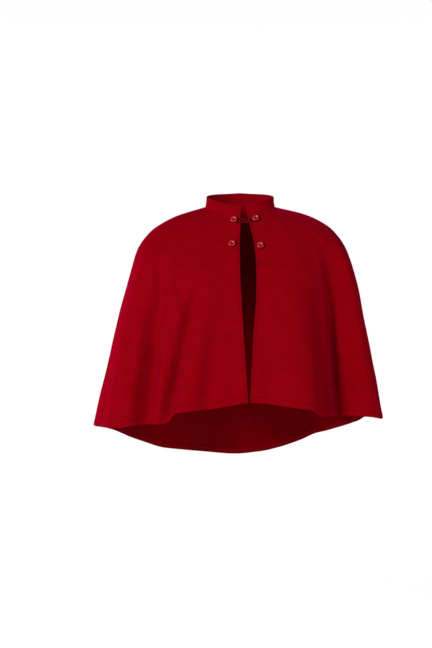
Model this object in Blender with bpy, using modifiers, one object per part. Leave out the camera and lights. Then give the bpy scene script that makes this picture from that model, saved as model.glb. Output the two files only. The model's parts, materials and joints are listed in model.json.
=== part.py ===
"""Short wool cape with a stand collar, as it hangs on a wearer, open down the front.

Frame: metres, +Z up. The front faces -Y and +X is the wearer's left.
The origin is the middle of the neckline, where the neck and shoulders hold the cape up.
The tables are in millimetres. Azimuths are in degrees round the body: 0 is the centre
front, +90 the wearer's left side, -90 the right side and 180 the centre back.
"""
import math
from bisect import bisect_right
from collections import namedtuple

import bmesh
import bpy
from mathutils import Matrix, Vector

MM = 0.001

# Driving sizes, in millimetres
CLOTH_WALL = 2.2
COLLAR_WALL = 3.6
COLLAR_HEIGHT = 27.0
COLLAR_LEAN = 2.8
COLLAR_FRONT_TOP = {"right": 3.0, "left": 11.0}
SEAM_GAP = 0.3
SIDE_SEAM_AZIMUTH = 90.0

FRONT_COLUMNS = 32
BACK_COLUMNS = 42
PANEL_ROWS = 17
COLLAR_ROWS = 2
ROW_EASE = 1.25

BUTTON_RADIUS = 8.2
BUTTON_SHANK_RADIUS = 2.6
BUTTON_SHANK_HEIGHT = 4.8
BUTTON_STEPS = 20
CORD_DIAMETER = 4.0
CORD_STEP = 4.0
ROUTE_STEPS = 20

# Share of a seam gap that each of two neighbours gives up, a little over half for the bend
GAP_SHARE = 0.6
# Steps of the search for a place on the fronts, and the usual drop of a whole run
PLACE_STEPS = 12
USUAL_DROP = 450.0
# Reach of the differences that give the cloth's outward direction
ROUND_STEP = 0.5
RUN_STEP = 0.004

# Rings of the cape from the neckline (run 0) to the hem (run 1), run being the share of the
# cloth's length. Each ring passes through a front, a back, a right and a left point. side_y is
# where its sides lie fore and aft, and square is 2 for an ellipse and more for fuller corners.
Ring = namedtuple("Ring", "run front_y front_z back_y back_z right_x right_z left_x left_z side_y square")
RINGS = [
    Ring(0.000, -66, -20, 66, 22, 82, 7, 82, 7, 0, 2.00),
    Ring(0.060, -78, -45, 82, -12, 119, -3, 121, -1, 1, 2.05),
    Ring(0.115, -89, -68, 94, -45, 153, -14, 156, -10, 3, 2.15),
    Ring(0.170, -100, -90, 104, -78, 184, -29, 190, -25, 4, 2.25),
    Ring(0.230, -110, -114, 112, -116, 215, -51, 220, -45, 5, 2.35),
    Ring(0.315, -124, -148, 120, -169, 246, -94, 255, -93, 6, 2.40),
    Ring(0.457, -141, -208, 134, -257, 271, -181, 281, -181, 7, 2.35),
    Ring(0.610, -150, -276, 152, -351, 297, -275, 298, -276, 8, 2.30),
    Ring(0.785, -159, -355, 173, -459, 322, -383, 320, -378, 9, 2.20),
    Ring(1.000, -167, -457, 200, -602, 353, -516, 343, -496, 10, 2.15),
]

# Height of the neckline seam round the neck, the same on both sides.
Level = namedtuple("Level", "azimuth height")
NECKLINE = [
    Level(0, -20), Level(30, -13.5), Level(46, -7), Level(90, 7), Level(135, 17), Level(180, 22),
]

# Height of the hem round the body: short in front, dropping behind.
HEM = [
    Level(-180, -604), Level(-165, -600), Level(-150, -590), Level(-134, -564), Level(-121, -537),
    Level(-105, -523), Level(-90, -516), Level(-72, -516), Level(-53, -515), Level(-42, -508), Level(-30, -503),
    Level(-27.5, -491), Level(-25, -479), Level(-12, -468), Level(-4, -460), Level(3, -453),
    Level(10, -456), Level(18, -463), Level(25, -469), Level(28, -476), Level(31, -485),
    Level(38, -488), Level(57, -490), Level(72, -497), Level(90, -496), Level(105, -497),
    Level(118, -503), Level(125, -517), Level(139, -541), Level(145, -549), Level(154, -571),
    Level(163, -590), Level(171, -600), Level(180, -604),
]

# Where the two front edges hang, left and right of the origin.
Opening = namedtuple("Opening", "run right_x left_x")
OPENING = [
    Opening(0.000, 0.0, 16.0), Opening(0.060, -0.5, 21.5), Opening(0.170, -2.5, 30.5),
    Opening(0.315, -2.0, 35.0), Opening(0.457, 0.5, 34.5), Opening(0.610, 4.0, 29.5),
    Opening(0.785, 9.0, 24.5), Opening(1.000, 16.0, 19.5),
]

# Hanging folds. A fold starts at a run and grows to the hem; its middle and its half width go
# from the top values to the hem values. depth is positive for a ridge that stands out and
# negative for a trough, and lean pushes the fold sideways, towards +azimuth when positive.
Fold = namedtuple("Fold", "name start top_azimuth hem_azimuth top_width hem_width depth lean")
FOLDS = [
    Fold("right front ridge", 0.34, -14, -20, 8, 8, 18, -6),
    Fold("right step", 0.34, -21, -28, 6, 6, -20, 0),
    Fold("right arm trough", 0.34, -43, -39, 8, 8, -36, 0),
    Fold("right arm ridge", 0.28, -62, -55, 12, 12, 13, 3),
    Fold("left front ridge", 0.30, 22, 23, 13, 13, 21, 4),
    Fold("left front wall", 0.12, 46, 39, 14, 12, -27, 0),
    Fold("left valley", 0.20, 55, 48, 11, 11, -50, 5),
    Fold("left arm ridge", 0.26, 69, 66, 14, 12, 16, -7),
    Fold("left side back trough", 0.42, 108, 106, 10, 10, -16, 0),
    Fold("left back ridge", 0.34, 124, 123, 12, 12, 16, 0),
    Fold("left back trough", 0.30, 143, 142, 11, 12, -24, 0),
    Fold("left middle ridge", 0.40, 162, 160, 11, 12, 17, 0),
    Fold("centre back trough", 0.45, -179, -177, 11, 11, -19, 0),
    Fold("right middle ridge", 0.36, -160, -158, 12, 12, 15, 0),
    Fold("right back trough", 0.32, -141, -140, 11, 11, -22, 0),
    Fold("right back ridge", 0.38, -123, -121, 11, 12, 14, 0),
    Fold("right side back trough", 0.45, -106, -104, 9, 9, -12, 0),
]

# Buttons: which front they sit on and their places across and up.
Button = namedtuple("Button", "name x height")
BUTTONS = [
    Button("button_upper_right", -16.5, -30.0),
    Button("button_upper_left", 33.5, -27.0),
    Button("button_lower_right", -21.0, -88.0),
    Button("button_lower_left", 44.0, -92.0),
]

# Half section of a button from the middle of its dished face to the foot of its shank:
# distance from the axis and height above the foot.
BUTTON_PROFILE = [
    (0.0, 6.7), (2.2, 6.6), (3.6, 7.1), (5.0, 8.3), (6.4, 8.5), (7.6, 7.9), (BUTTON_RADIUS, 6.9),
    (7.8, 5.7), (6.2, 5.0), (BUTTON_SHANK_RADIUS, BUTTON_SHANK_HEIGHT),
    (BUTTON_SHANK_RADIUS, 0.0), (0.0, 0.0),
]

# Route of the cord loop, from one sewn end on the right front, round the shank of the upper
# left button and back: across, up, and how far its middle stands off the cloth.
LOOP_ROUTE = [
    (-9.5, -25.0, 2.4), (-5.5, -25.9, 2.4), (-2.0, -26.8, 2.5), (3.0, -28.3, 2.6), (8.0, -29.6, 2.6),
    (13.0, -30.5, 2.6), (17.5, -30.6, 2.5), (22.5, -28.6, 2.4), (27.5, -24.2, 2.4), (33.0, -21.4, 2.4),
    (37.5, -23.0, 2.4), (39.1, -27.0, 2.4), (37.5, -31.0, 2.4), (33.0, -32.6, 2.4), (27.5, -33.5, 2.4),
    (22.5, -34.3, 2.4), (17.5, -35.0, 2.5), (13.0, -35.2, 2.6), (8.0, -35.3, 2.6), (3.0, -35.2, 2.6),
    (-2.0, -35.0, 2.5), (-5.5, -34.8, 2.4), (-9.5, -34.5, 2.4),
]

WOOL = {"color": (0.29, 0.003, 0.010, 1.0), "roughness": 0.9, "metallic": 0.0}
BUTTON_RED = {"color": (0.45, 0.01, 0.02, 1.0), "roughness": 0.12, "metallic": 0.0}
CORD_RED = {"color": (0.10, 0.004, 0.008, 1.0), "roughness": 0.7, "metallic": 0.0}


def smooth_curve(knots, values):
    """Return a smooth curve through the values that never overshoots them."""
    grades = [(v1 - v0) / (k1 - k0) for k0, k1, v0, v1 in zip(knots, knots[1:], values, values[1:])]
    slopes = [grades[0]]
    for before, after in zip(grades, grades[1:]):
        slopes.append(2 * before * after / (before + after) if before * after > 0 else 0.0)
    slopes.append(grades[-1])

    def value_at(place):
        index = min(max(bisect_right(knots, place) - 1, 0), len(knots) - 2)
        span = knots[index + 1] - knots[index]
        u = (place - knots[index]) / span
        rise = u * u * (3 - 2 * u)
        ends = values[index] * (1 - rise) + values[index + 1] * rise
        bend = u * (1 - u) * (slopes[index] * (1 - u) - slopes[index + 1] * u) * span
        return ends + bend

    return value_at


def column(rows, key, name):
    """Curve of one named column of a table against its key column."""
    return smooth_curve([getattr(row, key) for row in rows], [getattr(row, name) for row in rows])


def drop_share(name):
    """Share of the whole drop that one side of the cape has made at a run."""
    heights = [getattr(row, name) for row in RINGS]
    shares = [(heights[0] - height) / (heights[0] - heights[-1]) for height in heights]
    return smooth_curve([row.run for row in RINGS], shares)


SIZE_COLUMNS = ["front_y", "back_y", "right_x", "left_x", "side_y", "square"]
DROP_COLUMNS = ["front_z", "back_z", "right_z", "left_z"]
ring_size = {name: column(RINGS, "run", name) for name in SIZE_COLUMNS}
ring_drop = {name: drop_share(name) for name in DROP_COLUMNS}
neck_height = column(NECKLINE, "azimuth", "height")
before_hem = Level(HEM[-2].azimuth - 360, HEM[-2].height)
after_hem = Level(HEM[1].azimuth + 360, HEM[1].height)
once_round = [before_hem] + HEM + [after_hem]
hem_height = column(once_round, "azimuth", "height")
edge_x = {"right": column(OPENING, "run", "right_x"), "left": column(OPENING, "run", "left_x")}


def wrapped(azimuth):
    """The same azimuth between -180 and 180 degrees."""
    return (azimuth + 180.0) % 360.0 - 180.0


def fold_offset(azimuth, run):
    """How far the folds move the cloth outwards and sideways."""
    outwards = 0.0
    sideways = 0.0
    for fold in FOLDS:
        grown = (run - fold.start) / (1.0 - fold.start)
        if grown <= 0:
            continue
        middle = fold.top_azimuth + (fold.hem_azimuth - fold.top_azimuth) * grown
        width = fold.top_width + (fold.hem_width - fold.top_width) * grown
        across = wrapped(azimuth - middle) / width
        if abs(across) < 1:
            height = (1 - across * across) ** 2 * grown * (2 - grown)
            outwards += fold.depth * height
            sideways += fold.lean * height
    return outwards, sideways


def cape_point(azimuth, run):
    """Middle of the cloth at an azimuth and a run, in metres."""
    azimuth = wrapped(azimuth)
    sine = math.sin(math.radians(azimuth))
    cosine = math.cos(math.radians(azimuth))
    side = "left" if sine > 0 else "right"
    end = "front" if cosine > 0 else "back"
    side_y = ring_size["side_y"](run)
    half_width = ring_size[side + "_x"](run)
    half_depth = abs(ring_size[end + "_y"](run) - side_y)
    square = ring_size["square"](run)
    fullness = (abs(sine) ** square + abs(cosine) ** square) ** (-1 / square)
    middle = Vector((half_width * sine * fullness, side_y - half_depth * cosine * fullness, 0.0))

    outward = Vector((sine * half_depth, -cosine * half_width, 0.0)).normalized()
    sideways = Vector((-outward.y, outward.x, 0.0))
    out_by, side_by = fold_offset(azimuth, run)
    point = middle + outward * out_by + sideways * side_by

    share = ring_drop[end + "_z"](run) * cosine ** 2 + ring_drop[side + "_z"](run) * sine ** 2
    top = neck_height(abs(azimuth))
    point.z = top + (hem_height(azimuth) - top) * share
    return point * MM


def cape_normal(azimuth, run):
    """Outward direction of the cloth, from its neighbours round and down the cape."""
    around = cape_point(azimuth + ROUND_STEP, run) - cape_point(azimuth - ROUND_STEP, run)
    lower = min(run + RUN_STEP, 1.0)
    upper = max(run - RUN_STEP, 0.0)
    down = cape_point(azimuth, lower) - cape_point(azimuth, upper)
    return down.cross(around).normalized()


def edge_azimuth(front, run):
    """Azimuth of a front's open edge."""
    half_width = ring_size[front + "_x"](run)
    return math.degrees(math.asin(edge_x[front](run) / half_width))


def front_place(x, height):
    """Azimuth and run of the point on the fronts at a place across and a height."""
    run = 0.1
    azimuth = 0.0
    for _ in range(PLACE_STEPS):
        side = "left" if x > 0 else "right"
        azimuth = math.degrees(math.asin(x / ring_size[side + "_x"](run)))
        miss = cape_point(azimuth, run).z / MM - height
        run = min(max(run + miss / USUAL_DROP, 0.0), 1.0)
    return azimuth, run


def finish_material(name, look):
    """Plain material with one finish."""
    material = bpy.data.materials.new(name)
    material.use_nodes = True
    shader = material.node_tree.nodes["Principled BSDF"]
    shader.inputs["Base Color"].default_value = look["color"]
    shader.inputs["Roughness"].default_value = look["roughness"]
    shader.inputs["Metallic"].default_value = look["metallic"]
    material.diffuse_color = look["color"]
    return material


def add_object(name, mesh, collection, look):
    """Link a mesh to the collection as a named object with its own material."""
    piece = bpy.data.objects.new(name, mesh)
    mesh.materials.append(finish_material(name, look))
    collection.objects.link(piece)
    return piece


def lofted_sheet(name, rows, wall, collection, look):
    """Open sheet through rows of points, given its wall by Solidify."""
    sheet = bmesh.new()
    verts = [[sheet.verts.new(point) for point in row] for row in rows]
    for upper, lower in zip(verts, verts[1:]):
        for index in range(len(upper) - 1):
            sheet.faces.new((upper[index], lower[index], lower[index + 1], upper[index + 1]))
    sheet.normal_update()
    mesh = bpy.data.meshes.new(name)
    sheet.to_mesh(mesh)
    sheet.free()
    mesh.shade_smooth()
    piece = add_object(name, mesh, collection, look)
    solidify = piece.modifiers.new("Wall", "SOLIDIFY")
    solidify.thickness = wall * MM
    solidify.offset = 0.0
    return piece


def drawn_in(row, at_start, at_end):
    """Pull the ends of a row in by half a seam gap, along the row."""
    row = list(row)
    inset = SEAM_GAP * MM * GAP_SHARE
    if at_start:
        row[0] = row[0] + (row[1] - row[0]).normalized() * inset
    if at_end:
        row[-1] = row[-1] + (row[-2] - row[-1]).normalized() * inset
    return row


def panel_azimuths(panel, run):
    """Azimuths of a panel's columns at a run, in rising order."""
    if panel == "front_right":
        start, end, count = -SIDE_SEAM_AZIMUTH, edge_azimuth("right", run), FRONT_COLUMNS
    elif panel == "front_left":
        start, end, count = edge_azimuth("left", run), SIDE_SEAM_AZIMUTH, FRONT_COLUMNS
    else:
        start, end, count = SIDE_SEAM_AZIMUTH, 360.0 - SIDE_SEAM_AZIMUTH, BACK_COLUMNS
    return [start + (end - start) * index / count for index in range(count + 1)]


def make_panel(panel, collection):
    """One cut panel of the cape, from the neckline to the hem."""
    rows = []
    for index in range(PANEL_ROWS + 1):
        run = (index / PANEL_ROWS) ** ROW_EASE
        row = [cape_point(azimuth, run) for azimuth in panel_azimuths(panel, run)]
        rows.append(drawn_in(row, panel != "front_left", panel != "front_right"))
    return lofted_sheet(panel, rows, CLOTH_WALL, collection, WOOL)


def collar_azimuths():
    """Columns of the collar, in line with the panels' own along the neckline."""
    left = panel_azimuths("front_left", 0.0)
    back = panel_azimuths("back", 0.0)
    right = [azimuth + 360.0 for azimuth in panel_azimuths("front_right", 0.0)]
    return left + back[1:] + right[1:]


def make_collar(collection):
    """Stand collar that rests on the neckline all round, open at the front."""
    azimuths = collar_azimuths()
    rows = []
    for level in range(COLLAR_ROWS, -1, -1):
        up = level / COLLAR_ROWS
        row = []
        for azimuth in azimuths:
            foot = cape_point(azimuth, 0.0)
            clear = (CLOTH_WALL / 2 * cape_normal(azimuth, 0.0).z + SEAM_GAP) * MM
            foot.z += clear + (COLLAR_HEIGHT * MM - clear) * up
            inward = Vector((foot.x, foot.y, 0.0)).normalized()
            foot -= inward * COLLAR_LEAN * MM * up * (2 - up)
            row.append(foot)
        spread_left = (COLLAR_FRONT_TOP["left"] - edge_x["left"](0.0)) * up * MM
        spread_right = (COLLAR_FRONT_TOP["right"] - edge_x["right"](0.0)) * up * MM
        row[0].x += spread_left
        row[-1].x += spread_right
        rows.append(row)
    return lofted_sheet("collar", rows, COLLAR_WALL, collection, WOOL)


def make_button(button, collection):
    """Turned button with a rim, a dished middle and a shank, standing on its front."""
    profile = bmesh.new()
    verts = [profile.verts.new((radius * MM, 0.0, height * MM)) for radius, height in BUTTON_PROFILE]
    for first, second in zip(verts, verts[1:]):
        profile.edges.new((first, second))
    mesh = bpy.data.meshes.new(button.name)
    profile.to_mesh(mesh)
    profile.free()
    piece = add_object(button.name, mesh, collection, BUTTON_RED)
    screw = piece.modifiers.new("Turn", "SCREW")
    screw.steps = BUTTON_STEPS
    screw.render_steps = BUTTON_STEPS
    screw.use_merge_vertices = True
    screw.merge_threshold = 0.00001
    screw.use_normal_calculate = True
    azimuth, run = front_place(button.x, button.height)
    normal = cape_normal(azimuth, run)
    foot = cape_point(azimuth, run) + normal * (CLOTH_WALL / 2 + SEAM_GAP) * MM
    piece.rotation_euler = normal.to_track_quat("Z", "Y").to_euler()
    piece.location = foot
    return piece


def smooth_route(points, spacing):
    """Evenly spaced points along a smooth curve through the route's own points."""
    padded = [points[0] * 2 - points[1]] + points + [points[-1] * 2 - points[-2]]
    dense = []
    for p0, p1, p2, p3 in zip(padded, padded[1:], padded[2:], padded[3:]):
        for step in range(ROUTE_STEPS):
            u = step / ROUTE_STEPS
            dense.append(0.5 * ((2 * p1) + (p2 - p0) * u + (2 * p0 - 5 * p1 + 4 * p2 - p3) * u * u
                                + (3 * p1 - p0 - 3 * p2 + p3) * u ** 3))
    dense.append(points[-1])
    length = sum((second - first).length for first, second in zip(dense, dense[1:]))
    count = round(length / spacing)
    route = [dense[0]]
    walked = 0.0
    for first, second in zip(dense, dense[1:]):
        step = (second - first).length
        while len(route) < count and walked + step >= len(route) * length / count:
            share = (len(route) * length / count - walked) / step
            route.append(first.lerp(second, share))
        walked += step
    route.append(dense[-1])
    return route


def make_loop(collection):
    """Cord loop from the right front's edge round the shank of the upper left button."""
    points = []
    for x, height, stand_off in LOOP_ROUTE:
        azimuth, run = front_place(x, height)
        lift = (CLOTH_WALL / 2 + stand_off) * MM
        points.append(cape_point(azimuth, run) + cape_normal(azimuth, run) * lift)
    route = smooth_route(points, CORD_STEP * MM)
    cord = bpy.data.curves.new("loop", "CURVE")
    cord.dimensions = "3D"
    cord.bevel_depth = CORD_DIAMETER / 2 * MM
    cord.bevel_resolution = 2
    cord.use_fill_caps = True
    spline = cord.splines.new("POLY")
    spline.points.add(len(route) - 1)
    for place, point in zip(spline.points, route):
        place.co = (point.x, point.y, point.z, 1.0)
    return add_object("loop", cord, collection, CORD_RED)


def main():
    """Clear the scene and build every piece of the cape."""
    for item in list(bpy.data.objects):
        bpy.data.objects.remove(item, do_unlink=True)
    collection = bpy.data.collections.new("wool_cape")
    bpy.context.scene.collection.children.link(collection)
    for panel in ("front_right", "front_left", "back"):
        make_panel(panel, collection)
    make_collar(collection)
    for button in BUTTONS:
        make_button(button, collection)
    make_loop(collection)


main()
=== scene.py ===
"""Looks of a short red wool cape with a stand collar, worn open at the front.

The frame gives the sizes and places. Metres, +Z up, the front faces -Y and +X is the wearer's
left. Tables are in millimetres and degrees: azimuth 0 is the centre front, +90 the wearer's
left side, -90 the right side and 180 the centre back. run goes from the neckline, 0, to the
hem, 1.
"""
import json
import math
from collections import namedtuple

import bpy
import numpy as np
from bpy.props import FloatProperty, FloatVectorProperty, IntProperty, PointerProperty
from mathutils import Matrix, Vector

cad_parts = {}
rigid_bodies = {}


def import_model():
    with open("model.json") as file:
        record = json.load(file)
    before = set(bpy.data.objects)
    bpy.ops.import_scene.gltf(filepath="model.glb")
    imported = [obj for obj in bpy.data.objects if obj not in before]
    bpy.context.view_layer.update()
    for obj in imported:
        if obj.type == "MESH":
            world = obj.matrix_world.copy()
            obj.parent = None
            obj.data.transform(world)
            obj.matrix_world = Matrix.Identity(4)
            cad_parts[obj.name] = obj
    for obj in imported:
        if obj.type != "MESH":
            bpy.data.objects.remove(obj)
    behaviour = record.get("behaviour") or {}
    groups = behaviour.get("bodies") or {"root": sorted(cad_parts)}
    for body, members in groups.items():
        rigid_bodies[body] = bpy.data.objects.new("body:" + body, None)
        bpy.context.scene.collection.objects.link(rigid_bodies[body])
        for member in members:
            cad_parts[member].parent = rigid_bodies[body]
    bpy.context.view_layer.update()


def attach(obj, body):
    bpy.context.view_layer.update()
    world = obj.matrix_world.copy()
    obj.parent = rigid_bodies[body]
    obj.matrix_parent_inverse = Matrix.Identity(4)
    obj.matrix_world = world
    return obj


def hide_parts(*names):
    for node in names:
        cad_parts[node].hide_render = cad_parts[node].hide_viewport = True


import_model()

bl_info = {
    "name": "Wool cape",
    "version": (1, 0, 0),
    "blender": (4, 5, 0),
    "location": "View3D > Sidebar > Cape",
    "description": "Builds the cloth, stitching, buttons and cord loop of a short wool cape",
    "category": "Object",
}

MM = 0.001
BODY = "root"
SIDE_SEAM_AZIMUTH = 90.0

# Reach of the differences that give the cloth's directions and paces, in degrees and runs
NORMAL_REACH = (0.25, 0.002)
PACE_REACH = (0.5, 0.004)
# Steps of the search for a place on the fronts, and the usual drop of a whole run
PLACE_STEPS = 14
USUAL_DROP = 450.0
# How early a crease turns, how slowly it swells, and how soon the waves are full
CREASE_TURN = 0.8
CREASE_SWELL = 1.5
WAVE_GROWTH = 2.2

# ---------------------------------------------------------------------------
# Form of the cape
# ---------------------------------------------------------------------------
# Rings from the neckline to the hem: reach and height at the front, back and both sides, the
# depth at which the sides stand, and how square the ring is, where 2 is an ellipse
Ring = namedtuple(
    "Ring", "run front_y front_z back_y back_z right_x right_z left_x left_z side_y square")
RINGS = [
    Ring(0.000, -66, -20, 66, 22, 82, 7, 82, 7, 0, 2.00),
    Ring(0.060, -78, -45, 82, -12, 119, -3, 121, -1, 1, 2.05),
    Ring(0.115, -89, -68, 94, -45, 153, -14, 156, -10, 3, 2.15),
    Ring(0.170, -100, -90, 104, -78, 184, -29, 190, -25, 4, 2.25),
    Ring(0.230, -110, -114, 112, -116, 215, -51, 220, -45, 5, 2.35),
    Ring(0.315, -124, -148, 120, -169, 246, -94, 255, -93, 6, 2.40),
    Ring(0.457, -141, -208, 134, -257, 271, -181, 281, -181, 7, 2.35),
    Ring(0.610, -150, -276, 152, -351, 297, -275, 298, -276, 8, 2.30),
    Ring(0.785, -159, -355, 173, -459, 322, -383, 320, -378, 9, 2.20),
    Ring(1.000, -167, -457, 200, -602, 353, -516, 343, -496, 10, 2.15),
]

# Heights of the neckline seam and of the hem round the body
Level = namedtuple("Level", "azimuth height")
NECKLINE = [
    Level(0, -20), Level(30, -13.5), Level(46, -7), Level(90, 7), Level(135, 17), Level(180, 22),
]
HEM = [
    Level(-180, -604), Level(-165, -600), Level(-150, -590), Level(-134, -564), Level(-121, -537),
    Level(-105, -523), Level(-90, -516), Level(-72, -516), Level(-53, -515), Level(-42, -508),
    Level(-30, -503), Level(-27.5, -491), Level(-25, -479), Level(-12, -468), Level(-4, -460),
    Level(3, -453), Level(10, -456), Level(18, -463), Level(25, -469), Level(28, -476),
    Level(31, -485), Level(38, -488), Level(57, -490), Level(72, -497), Level(90, -496),
    Level(105, -497), Level(118, -503), Level(125, -517), Level(139, -541), Level(145, -549),
    Level(154, -571), Level(163, -590), Level(171, -600), Level(180, -604),
]

# Where the two open front edges stand across the body on their way down
Opening = namedtuple("Opening", "run right_x left_x")
OPENING = [
    Opening(0.000, 0.0, 16.0), Opening(0.060, -0.5, 21.5), Opening(0.170, -2.5, 30.5),
    Opening(0.315, -2.0, 35.0), Opening(0.457, 0.5, 34.5), Opening(0.610, 4.0, 29.5),
    Opening(0.785, 9.0, 24.5), Opening(1.000, 16.0, 19.5),
]

# Hanging folds grow from their start to the hem
Fold = namedtuple("Fold", "name start top_azimuth hem_azimuth top_width hem_width depth lean")
FOLDS = [
    Fold("right front ridge", 0.34, -14, -20, 8, 8, 18, -6),
    Fold("right step", 0.34, -21, -28, 6, 6, -20, 0),
    Fold("right arm trough", 0.34, -43, -39, 8, 8, -36, 0),
    Fold("right arm ridge", 0.28, -62, -55, 12, 12, 13, 3),
    Fold("left front ridge", 0.30, 22, 23, 13, 13, 21, 4),
    Fold("left front wall", 0.12, 46, 39, 14, 12, -27, 0),
    Fold("left valley", 0.20, 55, 48, 11, 11, -50, 5),
    Fold("left arm ridge", 0.26, 69, 66, 14, 12, 16, -7),
    Fold("left side back trough", 0.42, 108, 106, 10, 10, -16, 0),
    Fold("left back ridge", 0.34, 124, 123, 12, 12, 16, 0),
    Fold("left back trough", 0.30, 143, 142, 11, 12, -24, 0),
    Fold("left middle ridge", 0.40, 162, 160, 11, 12, 17, 0),
    Fold("centre back trough", 0.45, -179, -177, 11, 11, -19, 0),
    Fold("right middle ridge", 0.36, -160, -158, 12, 12, 15, 0),
    Fold("right back trough", 0.32, -141, -140, 11, 11, -22, 0),
    Fold("right back ridge", 0.38, -123, -121, 11, 12, 14, 0),
    Fold("right side back trough", 0.45, -106, -104, 9, 9, -12, 0),
]

# Creases come and go between two runs, and their line goes from one azimuth to another
Crease = namedtuple("Crease", "name start end top_azimuth low_azimuth width depth")
CREASES = [
    Crease("right shoulder drag", 0.12, 0.68, -50, -25, 5.0, 5.2),
    Crease("right shoulder hollow", 0.12, 0.60, -57, -37, 5.0, -4.6),
    Crease("right sleeve ridge", 0.24, 0.90, -74, -66, 5.0, 2.2),
    Crease("right front dip", 0.45, 1.25, -11, -14, 4.0, -6.5),
    Crease("right step edge", 0.50, 1.25, -35, -34, 3.4, 4.0),
    Crease("right sleeve trough", 0.30, 0.80, -57, -52, 4.0, -2.4),
    Crease("left shoulder drag", 0.12, 0.50, 62, 50, 6.0, 2.2),
    Crease("left chest wave", 0.42, 0.86, 10, 8, 5.0, -1.5),
    Crease("left front wave", 0.60, 1.20, 11, 10, 4.0, -1.6),
    Crease("left valley wall", 0.52, 1.20, 34, 33, 3.5, 2.0),
    Crease("left sleeve ridge", 0.40, 1.15, 73, 74, 5.0, 1.8),
    Crease("left back drag", 0.14, 0.55, 118, 140, 6.0, 1.8),
    Crease("left back wave", 0.50, 1.20, 132, 133, 4.0, 1.6),
    Crease("centre back wave", 0.30, 0.90, 176, 171, 5.0, 1.4),
    Crease("right back wave", 0.46, 1.15, -150, -149, 4.5, 1.8),
    Crease("right back drag", 0.13, 0.52, -116, -138, 6.0, 1.9),
    Crease("right side wave", 0.50, 1.15, -96, -97, 4.5, -1.6),
]

# Slow unevenness of hung cloth: waves round the body, waves down it, turn and height
Wave = namedtuple("Wave", "round down turn height")
WAVES = [
    Wave(9, 1.1, 0.4, 0.55), Wave(13, 2.3, 2.1, 0.42), Wave(21, 3.1, 4.0, 0.26),
    Wave(5, 4.7, 1.3, 0.30), Wave(34, 5.3, 5.2, 0.12), Wave(17, 8.9, 3.3, 0.12),
]

# Rows and columns of the fine cloth as distances from an edge, how rows crowd towards the
# neckline, where the cloth's pace is taken for the rows near the neckline and the hem, and
# columns of the back as a share of a front's
EDGE_STEPS = [0.0, 0.12, 0.4, 0.8, 1.3, 2.2, 3.4, 4.5, 5.1, 5.6, 6.0, 6.4, 6.9, 7.6, 9.0]
HEM_STEPS = [
    0.0, 0.12, 0.4, 0.8, 1.3, 2.6, 5.0, 8.0, 11.0, 13.0, 14.0, 14.6, 15.0, 15.4, 16.0, 17.0, 19.5,
]
SEAM_STEPS = [0.0, 0.12, 0.4, 0.8, 1.3, 2.4, 4.5]
ROW_EASE = 1.12
NECK_RUN, HEM_RUN = 0.01, 0.99
BACK_COLUMNS = 1.5
# Height on the cloth's own map at which a panel starts
MAP_TOP = 0.7

# Stitched edges: depth and width of the sunk line, how much and how widely painted shade darkens
# the wool along it, how far the turning puffs up between line and edge, and the painted shade
# along the edge itself
StitchedEdge = namedtuple("StitchedEdge", "sunk width dark dark_width puff rim_dark rim_width")
HEM_WORK = StitchedEdge(0.45, 0.9, 0.8, 0.7, 0.35, 1.0, 1.5)
FRONT_WORK = StitchedEdge(0.50, 0.8, 0.8, 0.6, 0.35, 1.0, 1.5)
COLLAR_WORK = StitchedEdge(0.55, 0.8, 0.8, 0.6, 0.30, 0.9, 1.4)
# Middle and reach of the puff between edge and line, as shares of the line's inset
PUFF_MIDDLE, PUFF_REACH = 0.5, 0.55
# Seams: rise over their turnings, where it is highest, its reach, and the painted shade along them
PressedSeam = namedtuple("PressedSeam", "rise middle reach dark")
NECK_WORK = PressedSeam(0.30, 0.0, 9.0, 0.0)
SIDE_WORK = PressedSeam(0.30, 0.0, 11.0, 0.6)
COLLAR_SEAM_WORK = PressedSeam(0.25, 6.0, 6.0, 0.35)
# Turned hem: added thickness, how far it passes its stitching, its slope and its rounded fold,
# and how soon the cloth is whole beside a seam, as shares of half its thickness
HEM_ADDED, HEM_PASSES, HEM_SLOPE, HEM_ROUND = 0.9, 1.5, 1.2, 1.6
SEAM_ROUND, NECK_ROUND = 0.5, 0.3

# Stitching: its lift off the cloth, the runs between which a front's line goes, and its points
THREAD_LIFT = 0.05
STITCH_RUNS = (0.012, 0.985)
EDGE_LINE_POINTS = 160
HEM_LINE_COLUMNS = 200

# Collar: lean towards the neck, tuck behind the seam, radius of its front corners, and where
# the tops of its front edges stand and how far round they pull it, in degrees
COLLAR_LEAN = 2.8
COLLAR_TUCK = 0.6
COLLAR_CORNER = 5.0
COLLAR_FRONT_TOP = {"left": 11.0, "right": 3.0}
COLLAR_FRONT_REACH = 14.0
# Its columns, rows near the seam, plain rows between two insets, closeness of the rim's rows,
# and reach of the differences that give its directions, in degrees and shares of its height
COLLAR_COLUMNS = 300
COLLAR_FOOT_STEPS = [0.0, 0.15, 0.5, 1.0, 1.7, 2.8]
COLLAR_FOOT_INSET, COLLAR_RIM_INSET, COLLAR_ROWS = 4.0, 9.0, 12
COLLAR_RIM_CLOSENESS = 0.9
COLLAR_REACH = (0.3, 0.02)
# Its stitched line: share of the height where it starts, and points up the ends and round the rim
COLLAR_LINE_COLUMNS = 200
COLLAR_LINE_FOOT, COLLAR_END_POINTS, COLLAR_RIM_POINTS = 0.06, 12, 260

# Buttons and the cord loop
Button = namedtuple("Button", "name x height turn")
BUTTONS = [
    Button("button_upper_right", -16.5, -30.0, 10),
    Button("button_upper_left", 33.5, -27.0, 31),
    Button("button_lower_right", -21.0, -88.0, 52),
    Button("button_lower_left", 44.0, -92.0, 20),
]
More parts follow.
